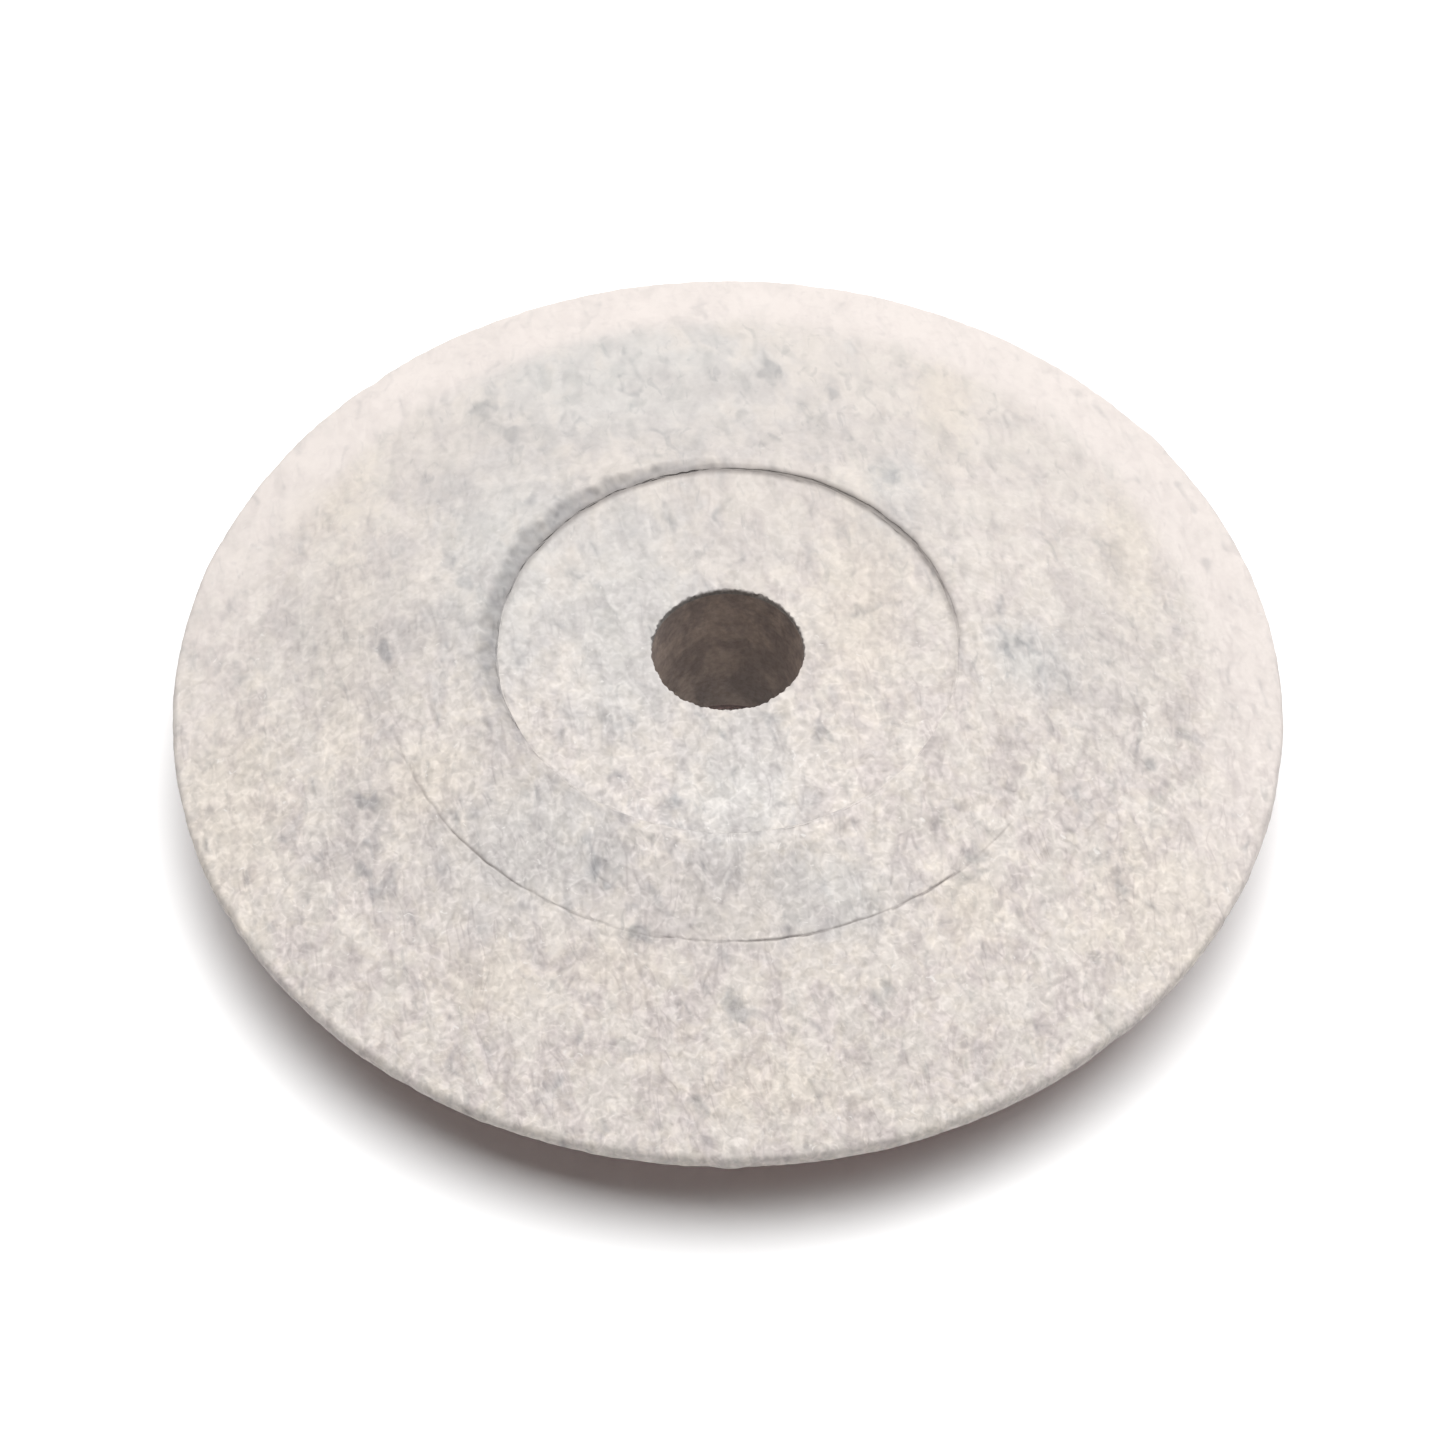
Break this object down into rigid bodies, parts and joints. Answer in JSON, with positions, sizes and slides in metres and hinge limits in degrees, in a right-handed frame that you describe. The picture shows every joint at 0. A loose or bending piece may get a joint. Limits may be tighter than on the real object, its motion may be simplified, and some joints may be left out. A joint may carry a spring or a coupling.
{
  "type": "felt polishing wheel",
  "caption": "Laminated felt polishing wheel with a knife edge: double-cone plies, recessed hub discs on both faces and a lined central bore.",
  "frame": {"origin": "centre of the wheel, on the bore axis and on the middle plane of the knife edge", "axes": "+Z along the bore axis, towards the top face"},
  "size_m": [0.022, 0.022, 0.004],
  "materials": {
    "core_felt": "matte pressed felt, pale pinkish grey",
    "flank_felt": "matte pressed felt, pinkish grey with darker and yellower patches",
    "face_felt": "matte pressed felt, grey",
    "hub_felt": "matte pressed felt, pinkish grey, denser than the plies",
    "bush_fibre": "matte vulcanised fibre, dark brown"
  },
  "bodies": {
    "root": {"core_ply": "core_felt", "flank_ply_top": "flank_felt", "flank_ply_bottom": "flank_felt", "face_ply_top": "face_felt", "face_ply_bottom": "face_felt", "hub_disc_top": "hub_felt", "hub_disc_bottom": "hub_felt", "bore_bush": "bush_fibre"}
  },
  "joints": []
}
